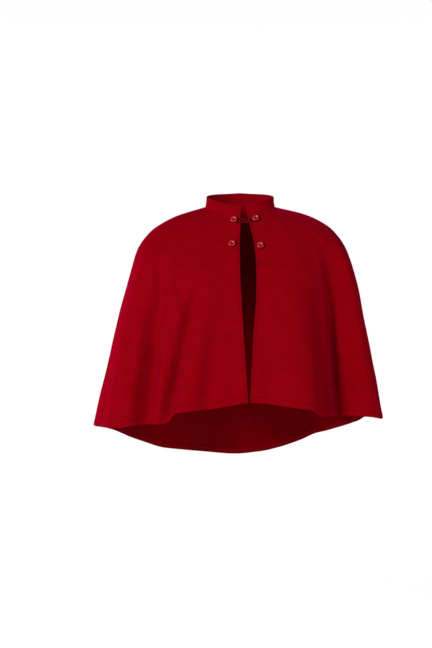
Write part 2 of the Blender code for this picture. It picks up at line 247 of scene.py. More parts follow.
# Outline of a turned button, from the middle of its face over the rim to the foot of its shank
Turned = namedtuple("Turned", "radius height")
BUTTON_PROFILE = [Turned(*row) for row in (
    (0.0, 6.75), (1.4, 6.7), (2.6, 6.75), (3.6, 7.15), (4.4, 7.85), (5.1, 8.35), (5.9, 8.55),
    (6.7, 8.45), (7.4, 8.0), (7.9, 7.4), (8.2, 6.8), (8.15, 6.2), (7.8, 5.7), (7.0, 5.25),
    (6.0, 5.0), (4.2, 4.9), (2.9, 4.8), (2.6, 4.6), (2.6, 1.2), (2.6, 0.1), (2.4, 0.0), (0.0, 0.0),
)]
BUTTON_SEAT = 0.3
# Facets: how many, the middle and reach of the rim that has them, the height above which they
# show, the share that stands proud, and how much of their depth goes sideways
BUTTON_FACETS = 7
FACET_RIM, FACET_REACH, FACET_FOOT = 6.4, 2.4, 5.5
FACET_PROUD, FACET_SIDEWAYS = 0.6, 0.4

# Route of the cord over the fronts, from the sewn end round the shank and back
Stop = namedtuple("Stop", "x height stand_off")
LOOP_ROUTE = [Stop(*row) for row in (
    (-9.5, -25.0, 2.4), (-5.5, -25.9, 2.4), (-2.0, -26.8, 2.5), (3.0, -28.3, 2.6),
    (8.0, -29.6, 2.6), (13.0, -30.5, 2.6), (17.5, -30.6, 2.5), (22.5, -28.6, 2.4),
    (27.5, -24.2, 2.4), (33.0, -21.4, 2.4), (37.5, -23.0, 2.4), (39.1, -27.0, 2.4),
    (37.5, -31.0, 2.4), (33.0, -32.6, 2.4), (27.5, -33.5, 2.4), (22.5, -34.3, 2.4),
    (17.5, -35.0, 2.5), (13.0, -35.2, 2.6), (8.0, -35.3, 2.6), (3.0, -35.2, 2.6),
    (-2.0, -35.0, 2.5), (-5.5, -34.8, 2.4), (-9.5, -34.5, 2.4),
)]
ROUTE_STEPS = 20
ROUTE_SPACING = 0.5
# Strands: radius and distance from the cord's middle as shares of its thickness, and sides
STRAND_RADIUS, STRAND_OFFSET, STRAND_SIDES = 0.29, 0.21, 8
STRAND_ROUND = 4.0

# Soft lamps: place and diameter in metres, and power as a share of the key light's
Lamp = namedtuple("Lamp", "name place size share")
LAMPS = [
    Lamp("key", (-2.0, -2.9, 0.6), 0.9, 1.00),
    Lamp("fill", (3.2, -1.2, -0.2), 1.4, 0.30),
    Lamp("back", (-2.4, 2.2, 0.1), 1.2, 0.45),
]
LAMP_AIM = (0.0, 0.0, -0.28)
CAMERA_X, CAMERA_HEIGHT = -0.058, -0.273
# Upward share of a direction at which the white walls start to turn into the ceiling, and end
CEILING_START, CEILING_END = 0.22, 0.6


def smooth_curve(knots, values):
    """Return a smooth curve through the values that never overshoots them."""
    knots = np.array(knots, float)
    values = np.array(values, float)
    spans = np.diff(knots)
    grades = np.diff(values) / spans
    before, after = grades[:-1], grades[1:]
    same_way = before * after > 0
    total = np.where(same_way, before + after, 1.0)
    inner = np.where(same_way, 2 * before * after / total, 0.0)
    slopes = np.concatenate([grades[:1], inner, grades[-1:]])

    def value_at(place):
        place = np.asarray(place, float)
        index = np.clip(np.searchsorted(knots, place, side="right") - 1, 0, len(spans) - 1)
        u = (place - knots[index]) / spans[index]
        rise = u * u * (3 - 2 * u)
        ends = values[index] * (1 - rise) + values[index + 1] * rise
        return ends + u * (1 - u) * (slopes[index] * (1 - u) - slopes[index + 1] * u) * spans[index]

    return value_at


def column(rows, key, name):
    """Curve of one named column of a table against its key column."""
    return smooth_curve([getattr(row, key) for row in rows], [getattr(row, name) for row in rows])


def drop_share(name):
    """Share of the whole drop that one side of the cape has made at a run."""
    heights = np.array([getattr(row, name) for row in RINGS], float)
    return smooth_curve([row.run for row in RINGS], (heights[0] - heights) / (heights[0] - heights[-1]))


SIZE_COLUMNS = ["front_y", "back_y", "right_x", "left_x", "side_y", "square"]
DROP_COLUMNS = ["front_z", "back_z", "right_z", "left_z"]
ring_size = {name: column(RINGS, "run", name) for name in SIZE_COLUMNS}
ring_drop = {name: drop_share(name) for name in DROP_COLUMNS}
neck_height = column(NECKLINE, "azimuth", "height")
before_hem = Level(HEM[-2].azimuth - 360, HEM[-2].height)
after_hem = Level(HEM[1].azimuth + 360, HEM[1].height)
hem_height = column([before_hem, *HEM, after_hem], "azimuth", "height")
edge_x = {"right": column(OPENING, "run", "right_x"), "left": column(OPENING, "run", "left_x")}


def wrapped(azimuth):
    """The same azimuth between -180 and 180 degrees."""
    return (azimuth + 180.0) % 360.0 - 180.0


def soft_bump(across):
    """Smooth hump, 1 in the middle and 0 from a distance of 1 outwards."""
    return np.where(np.abs(across) < 1, (1 - np.clip(across * across, 0, 1)) ** 2, 0.0)


def fold_offset(azimuth, run):
    """How far folds, creases and waves move the cloth outwards and sideways."""
    outwards = np.zeros(np.broadcast(azimuth, run).shape)
    sideways = np.zeros_like(outwards)
    for fold in FOLDS:
        grown = np.clip((run - fold.start) / (1.0 - fold.start), 0, None)
        middle = fold.top_azimuth + (fold.hem_azimuth - fold.top_azimuth) * grown
        width = fold.top_width + (fold.hem_width - fold.top_width) * grown
        height = soft_bump(wrapped(azimuth - middle) / width) * grown * (2 - grown)
        outwards += fold.depth * height
        sideways += fold.lean * height
    for crease in CREASES:
        along = np.clip((run - crease.start) / (crease.end - crease.start), 0, 1)
        turn = (crease.low_azimuth - crease.top_azimuth) * along ** CREASE_TURN
        height = soft_bump(wrapped(azimuth - (crease.top_azimuth + turn)) / crease.width)
        outwards += crease.depth * height * np.sin(math.pi * along) ** CREASE_SWELL
    grow = np.clip(run * WAVE_GROWTH, 0, 1)
    for wave in WAVES:
        phase = np.radians(azimuth) * wave.round + run * wave.down * 2 * math.pi + wave.turn
        outwards += wave.height * np.sin(phase) * grow
    return outwards, sideways


def cape_points(azimuth, run):
    """Middle of the cloth at azimuths and runs, in metres."""
    azimuth, run = np.broadcast_arrays(wrapped(np.asarray(azimuth, float)), np.asarray(run, float))
    sine = np.sin(np.radians(azimuth))
    cosine = np.cos(np.radians(azimuth))
    on_left = sine > 0
    in_front = cosine > 0
    side_y = ring_size["side_y"](run)
    half_width = np.where(on_left, ring_size["left_x"](run), ring_size["right_x"](run))
    end_y = np.where(in_front, ring_size["front_y"](run), ring_size["back_y"](run))
    half_depth = np.abs(end_y - side_y)
    square = ring_size["square"](run)
    fullness = (np.abs(sine) ** square + np.abs(cosine) ** square) ** (-1 / square)

    out_x, out_y = sine * half_depth, -cosine * half_width
    size = np.hypot(out_x, out_y)
    out_x, out_y = out_x / size, out_y / size
    out_by, side_by = fold_offset(azimuth, run)
    x = half_width * sine * fullness + out_x * out_by - out_y * side_by
    y = side_y - half_depth * cosine * fullness + out_y * out_by + out_x * side_by

    end_drop = np.where(in_front, ring_drop["front_z"](run), ring_drop["back_z"](run))
    side_drop = np.where(on_left, ring_drop["left_z"](run), ring_drop["right_z"](run))
    share = end_drop * cosine ** 2 + side_drop * sine ** 2
    top = neck_height(np.abs(azimuth))
    z = top + (hem_height(azimuth) - top) * share
    return np.stack([x, y, z], axis=-1) * MM


def unit(vectors):
    """The same directions with a length of 1."""
    return vectors / np.linalg.norm(vectors, axis=-1, keepdims=True)


def cape_normals(azimuth, run):
    """Outward directions of the cloth."""
    turn, step = NORMAL_REACH
    around = cape_points(azimuth + turn, run) - cape_points(azimuth - turn, run)
    lower = np.minimum(run + step, 1.0)
    upper = np.maximum(run - step, 0.0)
    down = cape_points(azimuth, lower) - cape_points(azimuth, upper)
    return unit(np.cross(down, around))


def round_speed(azimuth, run):
    """Metres of cloth in one degree round the body."""
    turn = PACE_REACH[0]
    around = cape_points(azimuth + turn, run) - cape_points(azimuth - turn, run)
    return np.linalg.norm(around, axis=-1) / (2 * turn)


def run_speed(azimuth, run):
    """Metres of cloth in a whole run, by its pace at one place."""
    upper = np.maximum(run - PACE_REACH[1], 0.0)
    lower = np.minimum(run + PACE_REACH[1], 1.0)
    down = cape_points(azimuth, lower) - cape_points(azimuth, upper)
    return np.linalg.norm(down, axis=-1) / (lower - upper)


def edge_azimuth(front, run):
    """Azimuth of a front's open edge."""
    return np.degrees(np.arcsin(edge_x[front](run) / ring_size[front + "_x"](run)))


def front_place(x, height):
    """Azimuth and run of the point on the fronts at a place across and a height."""
    run = 0.1
    azimuth = 0.0
    for _ in range(PLACE_STEPS):
        side = "left" if x > 0 else "right"
        azimuth = math.degrees(math.asin(x / float(ring_size[side + "_x"](run))))
        miss = float(cape_points(azimuth, run)[2]) / MM - height
        run = min(max(run + miss / USUAL_DROP, 0.0), 1.0)
    return azimuth, run


def lifted(azimuth, run, height):
    """A point that stands off the middle of the cloth, in metres."""
    return cape_points(azimuth, run) + cape_normals(azimuth, run) * height


# ---------------------------------------------------------------------------
# Meshes
# ---------------------------------------------------------------------------
def new_piece(name, verts, faces, material, uv=None):
    """Smooth-shaded mesh object in the scene."""
    mesh = bpy.data.meshes.new(name)
    mesh.from_pydata(np.asarray(verts).tolist(), [], faces)
    mesh.materials.append(material)
    if uv is not None:
        layer = mesh.uv_layers.new(name="Cloth")
        corners = np.zeros(len(mesh.loops), np.int32)
        mesh.loops.foreach_get("vertex_index", corners)
        layer.data.foreach_set("uv", np.asarray(uv, np.float32)[corners].ravel())
    mesh.validate()
    mesh.shade_smooth()
    piece = bpy.data.objects.new(name, mesh)
    bpy.context.scene.collection.objects.link(piece)
    return piece


def shell_piece(name, middle, normals, outer, inner, material, uv):
    """Closed shell from a grid. outer and inner are its half walls, 0 along its border."""
    rows, columns = outer.shape
    front = (middle + normals * outer[..., None]).reshape(-1, 3)
    back = (middle - normals * inner[..., None]).reshape(-1, 3)
    number = np.arange(rows * columns).reshape(rows, columns)
    border = np.ones((rows, columns), bool)
    border[1:-1, 1:-1] = False
    back_number = np.where(border, number, 0)
    inside = ~border
    back_number[inside] = rows * columns + np.arange(inside.sum())
    verts = np.concatenate([front, back.reshape(rows, columns, 3)[inside]])
    coords = np.concatenate([uv.reshape(-1, 2), uv[inside]])

    def quads(grid):
        corners = [grid[:-1, :-1], grid[1:, :-1], grid[1:, 1:], grid[:-1, 1:]]
        return np.stack(corners, axis=-1).reshape(-1, 4)

    faces = np.concatenate([quads(number), quads(back_number)[:, ::-1]])
    return new_piece(name, verts, faces.tolist(), material, coords)


def tube_faces(count, steps, first=0, flipped=False):
    """Faces of a closed tube of rings, whose two end points come after its rings."""
    number = first + np.arange(count * steps).reshape(count, steps)
    after = np.roll(number, -1, axis=1)
    corners = [number[:-1], number[1:], after[1:], after[:-1]]
    faces = np.stack(corners, axis=-1).reshape(-1, 4).tolist()
    start, end = first + count * steps, first + count * steps + 1
    faces += [[start, int(a), int(b)] for a, b in zip(number[0], after[0])]
    faces += [[end, int(b), int(a)] for a, b in zip(number[-1], after[-1])]
    return [[face[0], *face[:0:-1]] for face in faces] if flipped else faces


def rounded(distance, radius):
    """Share of the wall near an edge whose section is a half circle."""
    inside = np.clip(distance / radius, 0, 1)
    return np.sqrt(np.clip(1 - (1 - inside) ** 2, 0, 1))


def groove(distance, place, width):
    """Soft dip of depth 1 along a stitched line."""
    return np.exp(-((distance - place) / width) ** 2)


def stitched_edge(distance, inset, work):
    """Relief of an edge with a stitched line at an inset from it, and painted shade along line and
    edge.
    """
    relief = -work.sunk * MM * groove(distance, inset, work.width * MM)
    relief += work.puff * MM * soft_bump((distance - PUFF_MIDDLE * inset) / (PUFF_REACH * inset))
    # Painted shade: darkens the wool along the sunk line and along the edge
    dark = work.dark * groove(distance, inset, work.dark_width * MM)
    dark += work.rim_dark * groove(distance, 0.0, work.rim_width * MM)
    return np.stack([relief, dark])


def pressed_seam(distance, work):
    """Relief of a seam whose turnings lie under the cloth, and painted shade along it."""
    relief = work.rise * MM * soft_bump((distance - work.middle * MM) / (work.reach * MM))
    # Painted shade: darkens the wool along the seam line
    return np.stack([relief, work.dark * groove(distance, 0.0, 1.0 * MM)])


# ---------------------------------------------------------------------------
# Shader building
# ---------------------------------------------------------------------------
class Wire:
    """A socket that takes part in Python arithmetic, each sign adding a Math node."""

    def __init__(self, nodes, socket):
        self.nodes = nodes
        self.socket = socket

    def _math(self, operation, *values):
        return self.nodes.add("ShaderNodeMath", {"operation": operation}, dict(enumerate(values)))

    def __add__(self, other):
        return self._math("ADD", self, other)

    __radd__ = __add__

    def __mul__(self, other):
        return self._math("MULTIPLY", self, other)

    __rmul__ = __mul__

    def __sub__(self, other):
        return self._math("SUBTRACT", self, other)

    def __rsub__(self, other):
        return self._math("SUBTRACT", other, self)


class Nodes:
    """A node tree and one way to add any node to it."""

    def __init__(self, tree):
        self.tree = tree

    def add(self, kind, settings, values, output=0):
        """Add a node, set its settings, then its sockets, and return one of its outputs."""
        node = self.tree.nodes.new(kind)
        for name, value in settings.items():
            if name == "stops":
                self._set_stops(node, value)
            else:
                setattr(node, name, value)
        for name, value in values.items():
            socket = node.inputs[name]
            if isinstance(value, Wire):
                self.tree.links.new(value.socket, socket)
            else:
                socket.default_value = value
        return Wire(self, node.outputs[output])

    def _set_stops(self, node, stops):
        elements = node.color_ramp.elements
        while len(elements) < len(stops):
            elements.new(0.5)
        for element, (position, color) in zip(elements, stops):
            element.position = position
            element.color = color

    def mixed(self, share, first, second):
        """Colour mix by a share."""
        settings = {"data_type": "RGBA"}
        return self.add("ShaderNodeMix", settings, {0: share, 6: first, 7: second}, output=2)

    def noise(self, place, scale, detail, **more):
        """Noise at a place, with features of about 1 / scale metres."""
        values = {"Vector": place, "Scale": scale, "Detail": detail, **more}
        return self.add("ShaderNodeTexNoise", {}, values)

    def place(self):
        """Place on the piece in metres."""
        return self.add("ShaderNodeTexCoord", {}, {}, output="Object")

    def along_cloth(self, scale):
        """Place along the cloth or cord in metres, stretched by a scale."""
        coords = self.add("ShaderNodeUVMap", {"uv_map": "Cloth"}, {})
        return self.add("ShaderNodeMapping", {}, {"Vector": coords, "Scale": scale})

    def feed(self, shader, **wires):
        """Link wires to a shader's sockets, with _ for a blank in their names."""
        for name, wire in wires.items():
            self.tree.links.new(wire.socket, shader.inputs[name.replace("_", " ")])

    def bump(self, relief, strength, depth):
        """Normal of a relief with a depth in metres."""
        values = {"Strength": strength, "Distance": depth, "Height": relief}
        return self.add("ShaderNodeBump", {}, values)


def new_material(name, color, **constants):
    """Material with a Principled shader whose constant values are set on its own sockets."""
    material = bpy.data.materials.new(name)
    material.use_nodes = True
    nodes = Nodes(material.node_tree)
    shader = material.node_tree.nodes["Principled BSDF"]
    shader.inputs["Base Color"].default_value = (*color[:3], 1.0)
    for socket, value in constants.items():
        shader.inputs[socket.replace("_", " ")].default_value = value
    material.diffuse_color = (*color[:3], 1.0)
    return material, nodes, shader


def shade_of(color, share):
    """Opaque colour scaled by a share."""
    return (*[channel * share for channel in color[:3]], 1.0)


def wool_material(cloth):
    """Felted wool coating: short nap, faint mottling, and painted shade along edges, stitched lines and
    seams.
    """
    base = cloth.wool_color
    material, nodes, shader = new_material(
        "Red wool", base, Roughness=0.95, Specular_IOR_Level=0.0,
        Sheen_Weight=cloth.sheen, Sheen_Roughness=0.45, Sheen_Tint=(*cloth.nap_color, 1.0))
    place = nodes.place()
    cloudy = nodes.noise(place, scale=38.0, detail=3.0, Roughness=0.55)
    felt = nodes.noise(place, scale=420.0, detail=4.0, Roughness=0.7)
    nap_place = nodes.along_cloth(scale=(1.0, 0.35, 1.0))
    hairs = nodes.noise(nap_place, scale=1500.0, detail=3.0, Roughness=0.6, Distortion=0.8)
    # Painted shade: the wool is darkened along edges, stitched lines and seams, by an attribute of each
    # piece
    edge = nodes.add("ShaderNodeAttribute", {"attribute_name": "worked_edge"}, {}, output="Fac")
    mottle = cloudy * 0.30 + felt * 0.45 + hairs * 0.25
    stops = [(0.30, shade_of(base, 0.74)), (0.50, shade_of(base, 1.0)), (0.70, shade_of(base, 1.24))]
    tone = nodes.add("ShaderNodeValToRGB", {"stops": stops}, {"Fac": mottle})
    color = nodes.mixed(edge * 0.45, tone, shade_of(base, 0.45))
    normal = nodes.bump(felt * 0.6 + hairs * 0.4, strength=0.55, depth=cloth.nap_depth)
    nodes.feed(shader, Base_Color=color, Roughness=0.84 + felt * 0.14, Normal=normal)
    return material


def thread_material(cloth):
    """Sewing thread, a little darker and smoother than the wool."""
    base = shade_of(cloth.wool_color, 0.62)
    material, nodes, shader = new_material("Red thread", base, Roughness=0.7, Specular_IOR_Level=0.02)
    ply = nodes.noise(nodes.place(), scale=1400.0, detail=2.0)
    tone = nodes.mixed(ply, shade_of(base, 0.7), shade_of(base, 1.3))
    normal = nodes.bump(ply, strength=0.4, depth=0.1 * MM)
    nodes.feed(shader, Base_Color=tone, Normal=normal)
    return material


def button_material(buttons):
    """Glossy enamelled red with faint clouding and fine wear on its rim."""
    base = buttons.button_color
    material, nodes, shader = new_material(
        "Glossy red button", base, Roughness=0.36, Specular_IOR_Level=0.0, Metallic=0.75)
    place = nodes.place()
    cloud = nodes.noise(place, scale=260.0, detail=3.0)
    wear = nodes.noise(place, scale=1800.0, detail=3.0)
    tone = nodes.mixed(cloud, shade_of(base, 0.75), shade_of(base, 1.3))
    normal = nodes.bump(cloud, strength=0.12, depth=0.2 * MM)
    nodes.feed(shader, Base_Color=tone, Roughness=0.28 + wear * 0.16, Normal=normal)
    return material


def cord_material(buttons):
    """Dark red twisted cord with fibres along its strands."""
    base = buttons.cord_color
    material, nodes, shader = new_material("Dark red cord", base, Roughness=0.8, Specular_IOR_Level=0.0)
    fibres = nodes.noise(nodes.along_cloth(scale=(1.0, 6.0, 1.0)), scale=900.0, detail=2.0)
    tone = nodes.mixed(fibres, shade_of(base, 0.55), shade_of(base, 1.5))
    normal = nodes.bump(fibres, strength=0.5, depth=0.1 * MM)
    nodes.feed(shader, Base_Color=tone, Normal=normal)
    return material


def floor_material(stage):
    """Plain pale studio floor with a faint grain, which fades into the white studio."""
    base = stage.floor_color
    material, nodes, shader = new_material("Studio floor", base, Roughness=0.85, Specular_IOR_Level=0.1)
    place = nodes.place()
    grain = nodes.noise(place, scale=60.0, detail=2.0)
    tone = nodes.mixed(grain, shade_of(base, 0.99), shade_of(base, 1.0))
    reach = nodes.add("ShaderNodeVectorMath", {"operation": "LENGTH"}, {0: place}, output="Value")
    fade = nodes.add("ShaderNodeMapRange", {"interpolation_type": "SMOOTHSTEP"}, {
        "Value": reach, "From Min": 0.5 * stage.floor_reach, "From Max": stage.floor_reach,
        "To Min": 1.0, "To Max": 0.0})
    nodes.feed(shader, Base_Color=tone, Alpha=fade)
    return material


# ---------------------------------------------------------------------------
# Sizes and colours
# ---------------------------------------------------------------------------
class CapeClothSettings(bpy.types.PropertyGroup):
    """Sizes and colours of the wool"""

    wall: FloatProperty(
        name="Cloth thickness", description="Thickness of one layer of wool",
        default=2.2 * MM, min=0.001, max=0.004, unit="LENGTH")
    collar_wall: FloatProperty(
        name="Collar thickness", description="Thickness of the doubled collar",
        default=3.6 * MM, min=0.002, max=0.006, unit="LENGTH")
    collar_height: FloatProperty(
        name="Collar height", description="Height of the collar above the neckline seam",
        default=27.0 * MM, min=0.015, max=0.06, unit="LENGTH")
    edge_stitch: FloatProperty(
        name="Edge stitching", description="Distance of the topstitching from the front edges",
        default=6.0 * MM, min=0.003, max=0.012, unit="LENGTH")
    collar_stitch: FloatProperty(
        name="Collar stitching", description="Distance of the topstitching from the collar's edge",
        default=4.6 * MM, min=0.003, max=0.01, unit="LENGTH")
    hem_depth: FloatProperty(
        name="Hem depth", description="Depth of the turned and stitched hem",
        default=15.0 * MM, min=0.008, max=0.03, unit="LENGTH")
    columns: IntProperty(
        name="Columns", description="Columns of cloth across a front", default=112, min=40, max=200)
    rows: IntProperty(
        name="Rows", description="Rows of cloth between the neckline and the hem",
        default=120, min=40, max=200)
    stitch_pitch: FloatProperty(
        name="Stitch pitch", description="Distance from one stitch to the next",
        default=3.4 * MM, min=0.002, max=0.006, unit="LENGTH")
    stitch_length: FloatProperty(
        name="Stitch length", description="Length of thread that shows in one stitch",
        default=2.6 * MM, min=0.001, max=0.006, unit="LENGTH")
    thread: FloatProperty(
        name="Thread thickness", description="Thickness of the sewing thread",
        default=0.5 * MM, min=0.0002, max=0.001, unit="LENGTH")
    nap_depth: FloatProperty(
        name="Nap depth", description="Depth of the felted surface",
        default=0.5 * MM, min=0.0, max=0.002, unit="LENGTH")
    sheen: FloatProperty(
        name="Sheen", description="Strength of the soft glow of the nap",
        default=0.16, min=0.0, max=1.0)
    wool_color: FloatVectorProperty(
        name="Wool", description="Colour of the wool", subtype="COLOR", size=3,
        default=(0.070, 0.0001, 0.0012), min=0.0, max=1.0)
    nap_color: FloatVectorProperty(
        name="Nap", description="Colour of the glow of the nap", subtype="COLOR", size=3,
        default=(0.55, 0.0, 0.055), min=0.0, max=1.0)


class CapeFasteningSettings(bpy.types.PropertyGroup):
    """Sizes and colours of the buttons and the cord loop"""

    steps: IntProperty(name="Steps", description="Steps round a button", default=72, min=24, max=120)
    facet_depth: FloatProperty(
        name="Facet depth", description="Depth of the facets round a button's rim",
        default=0.8 * MM, min=0.0, max=0.002, unit="LENGTH")
    cord: FloatProperty(
        name="Cord thickness", description="Thickness of the twisted cord",
        default=4.0 * MM, min=0.001, max=0.006, unit="LENGTH")
    twist: FloatProperty(
        name="Twist", description="Length of one turn of the cord's strands",
        default=9.0 * MM, min=0.002, max=0.02, unit="LENGTH")
    button_color: FloatVectorProperty(
        name="Buttons", description="Colour of the buttons", subtype="COLOR", size=3,
        default=(0.16, 0.010, 0.014), min=0.0, max=1.0)
    cord_color: FloatVectorProperty(
        name="Cord", description="Colour of the cord loop", subtype="COLOR", size=3,
        default=(0.038, 0.0012, 0.0014), min=0.0, max=1.0)


class CapeStageSettings(bpy.types.PropertyGroup):
    """Camera distance, floor and light"""

    camera_distance: FloatProperty(
        name="Camera distance", description="Distance of the camera from the middle of the cape",
        default=3.0, min=1.0, max=8.0, unit="LENGTH")
    lens: FloatProperty(
        name="Lens", description="Focal length of the camera", default=69.2, min=20.0, max=200.0)
    floor_drop: FloatProperty(
        name="Floor drop", description="Height of the neckline above the floor",
        default=1.42, min=0.8, max=1.8, unit="LENGTH")
    floor_reach: FloatProperty(
        name="Floor reach", description="Distance at which the floor has faded into the white studio",
        default=2.8, min=1.0, max=20.0, unit="LENGTH")
    floor_color: FloatVectorProperty(
        name="Floor", description="Colour of the floor", subtype="COLOR", size=3,
        default=(0.9, 0.9, 0.9), min=0.0, max=1.0)
    ambient: FloatProperty(
        name="Ambient light", description="Strength of the light from the white studio walls",
        default=1.0, min=0.0, max=3.0)
    ceiling: FloatProperty(
        name="Ceiling light", description="Strength of the light from above",
        default=0.1, min=0.0, max=3.0)
    key: FloatProperty(
        name="Key light", description="Power of the soft main light, in watts",
        default=405.0, min=0.0, max=1000.0)


# ---------------------------------------------------------------------------
# Cloth
# ---------------------------------------------------------------------------
def panel_azimuths(panel, run, columns):
    """Azimuths of a panel's columns at one run, closer together by its open edge and seams."""
    start, end = {
        "front_right": (-SIDE_SEAM_AZIMUTH, edge_azimuth("right", run)),
        "front_left": (edge_azimuth("left", run), SIDE_SEAM_AZIMUTH),
        "back": (SIDE_SEAM_AZIMUTH, 360.0 - SIDE_SEAM_AZIMUTH),
    }[panel]
    start_steps = np.array(EDGE_STEPS if panel == "front_left" else SEAM_STEPS) * MM
    end_steps = np.array(EDGE_STEPS if panel == "front_right" else SEAM_STEPS) * MM
    first = start + start_steps / round_speed(start, run)
    last = end - end_steps[::-1] / round_speed(end, run)
    middle = first[-1] + (last[0] - first[-1]) * np.linspace(0, 1, columns + 1)[1:-1]
    return np.concatenate([first, middle, last])


def panel_grid(panel, columns, rows):
    """Azimuths and runs of a panel's fine grid."""
    hem = panel_azimuths(panel, 1.0, columns)
    run_top = np.array(SEAM_STEPS)[:, None] * MM / run_speed(hem, np.full_like(hem, NECK_RUN))
    run_low = 1 - np.array(HEM_STEPS[::-1])[:, None] * MM / run_speed(hem, np.full_like(hem, HEM_RUN))
    share = np.linspace(0, 1, rows + 1)[1:-1, None] ** ROW_EASE
    run_middle = run_top[-1:] + (run_low[:1] - run_top[-1:]) * share
    run = np.clip(np.concatenate([run_top, run_middle, run_low]), 0, 1)
    azimuth = np.stack([panel_azimuths(panel, mean, columns) for mean in run.mean(axis=1)])
    return azimuth, run


def grid_distance(points, axis):
    """Distance along the cloth from the first row or column of a grid."""
    steps = np.linalg.norm(np.diff(points, axis=axis), axis=-1)
    start = np.zeros_like(steps[:1] if axis == 0 else steps[:, :1])
    return np.concatenate([start, np.cumsum(steps, axis=axis)], axis=axis)


def mark_edges(piece, painted_shade):
    """Store the painted shade along edges, stitched lines and seams at each point, for the material."""
    layer = piece.data.attributes.new("worked_edge", "FLOAT", "POINT")
    layer.data.foreach_set("value", np.asarray(painted_shade, np.float32))


def with_inner(values):
    """The values of a grid, then those of its inside points, as shell_piece numbers them."""
    return np.concatenate([values.ravel(), values[1:-1, 1:-1].ravel()])


def make_panel(panel, cloth, material):
    """Fine shell of one panel with its turned edges, stitched lines and hem."""
    columns = cloth.columns if panel != "back" else int(cloth.columns * BACK_COLUMNS)
    azimuth, run = panel_grid(panel, columns, cloth.rows)
    middle = cape_points(azimuth, run)
    normals = cape_normals(azimuth, run)
    across = grid_distance(middle, 1)
    down = grid_distance(middle, 0)
    from_neck, from_hem = down, down[-1:] - down
    half = cloth.wall / 2
    hem_fold = rounded(from_hem, HEM_ROUND * half)

    wall = np.minimum(rounded(from_neck, NECK_ROUND * half), rounded(from_hem, half))
    marks = stitched_edge(from_hem, cloth.hem_depth, HEM_WORK) + pressed_seam(from_neck, NECK_WORK)
    sides = ((across, panel == "front_left"), (across[:, -1:] - across, panel == "front_right"))
    for distance, is_open in sides:
        if is_open:
            wall = np.minimum(wall, rounded(distance, half))
            marks += stitched_edge(distance, cloth.edge_stitch, FRONT_WORK)
        else:
            wall = np.minimum(wall, rounded(distance, SEAM_ROUND * half))
            marks += pressed_seam(distance, SIDE_WORK)
    # The second mark is painted shade along the hem, the front edges, the seams and the stitched lines
    relief, painted_shade = marks
    turned_to = cloth.hem_depth + HEM_PASSES * MM
    doubled = np.clip((turned_to - from_hem) / (HEM_SLOPE * MM), 0, 1)
    inner = half * wall + HEM_ADDED * MM * doubled * hem_fold
    outer = (half + relief) * wall
    uv = np.stack([across, MAP_TOP - down], axis=-1)
    piece = shell_piece(panel + "_cloth", middle, normals, outer, inner, material, uv)
    mark_edges(piece, with_inner(np.clip(painted_shade, 0, 1)))
    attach(piece, BODY)
    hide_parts(panel)
    return piece


def collar_azimuths(steps):
    """Columns of the collar from its left front edge round the back to the right one."""
    start = float(edge_azimuth("left", np.array(0.0)))
    end = 360.0 + float(edge_azimuth("right", np.array(0.0)))
    near = np.array(EDGE_STEPS) * MM
    first = start + near / float(round_speed(start, 0.0))
    last = end - near[::-1] / float(round_speed(end, 0.0))
    return np.concatenate([first, np.linspace(first[-1], last[0], steps + 1)[1:-1], last])


def collar_points(azimuth, up, cloth):
    """Middle of the collar, and outward directions: up is 0 at the seam and 1 at the rim."""
    foot = cape_points(azimuth, 0.0)
    outward = unit(foot * np.array([1.0, 1.0, 0.0]))
    point = foot - outward * (COLLAR_LEAN * MM * up * (2 - up))[..., None]
    point[..., 2] += cloth.collar_height * up - COLLAR_TUCK * MM * (1 - up)
    for side, away in (("left", azimuth - azimuth.min()), ("right", azimuth.max() - azimuth)):
        shift = (COLLAR_FRONT_TOP[side] - float(edge_x[side](0.0))) * MM
        point[..., 0] += shift * up * soft_bump(away / COLLAR_FRONT_REACH)
    return point, outward


def make_collar(cloth, material):
    """Fine shell of the stand collar with rounded front corners and topstitching."""
    corner = COLLAR_CORNER * MM
    height = cloth.collar_height
    azimuth = collar_azimuths(COLLAR_COLUMNS)[None, :]
    plain_rows = np.linspace(COLLAR_FOOT_INSET * MM, height - COLLAR_RIM_INSET * MM, COLLAR_ROWS)
    rim_rows = height - np.array(EDGE_STEPS[::-1]) * MM * COLLAR_RIM_CLOSENESS
    heights = np.concatenate([np.array(COLLAR_FOOT_STEPS) * MM, plain_rows, rim_rows])[:, None]
    halfway, _ = collar_points(azimuth, np.full_like(azimuth, 0.5), cloth)
    along = grid_distance(halfway, 1)
    from_ends = np.minimum(along, along[:, -1:] - along)
    in_corner = np.clip(corner - from_ends, 0, corner)
    cut = corner - np.sqrt(np.clip(corner ** 2 - in_corner ** 2, 0, None))
    up = heights / height * (1 - cut / height)
    azimuth, up = np.broadcast_arrays(azimuth, up)
    middle, _ = collar_points(azimuth, up, cloth)
    turn, rise = COLLAR_REACH
    ahead, _ = collar_points(np.minimum(azimuth + turn, azimuth.max()), up, cloth)
    behind, _ = collar_points(np.maximum(azimuth - turn, azimuth.min()), up, cloth)
    higher, _ = collar_points(azimuth, up + rise, cloth)
    lower, _ = collar_points(azimuth, up - rise, cloth)
    normals = unit(np.cross(ahead - behind, higher - lower))

    half = cloth.collar_wall / 2
    from_rim = (1 - heights / height) * height * np.ones_like(up)
    from_foot = grid_distance(middle, 0)
    side = np.broadcast_to(from_ends, up.shape)
    wall = np.minimum(rounded(from_rim, half), rounded(side, half))
    # Relief, and painted shade along the rim, the front edges, the stitched line and the seam
    relief, painted_shade = (stitched_edge(np.minimum(from_rim, side), cloth.collar_stitch, COLLAR_WORK)
                      + pressed_seam(from_foot, COLLAR_SEAM_WORK))
    uv = np.stack([np.broadcast_to(along, up.shape), from_foot], axis=-1)
    grids = [grid[::-1] for grid in (middle, normals, (half + relief) * wall, half * wall)]
    piece = shell_piece("collar_cloth", *grids, material, uv[::-1])
    mark_edges(piece, with_inner(np.clip(painted_shade, 0, 1)[::-1]))
    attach(piece, BODY)
    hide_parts("collar")
    return piece


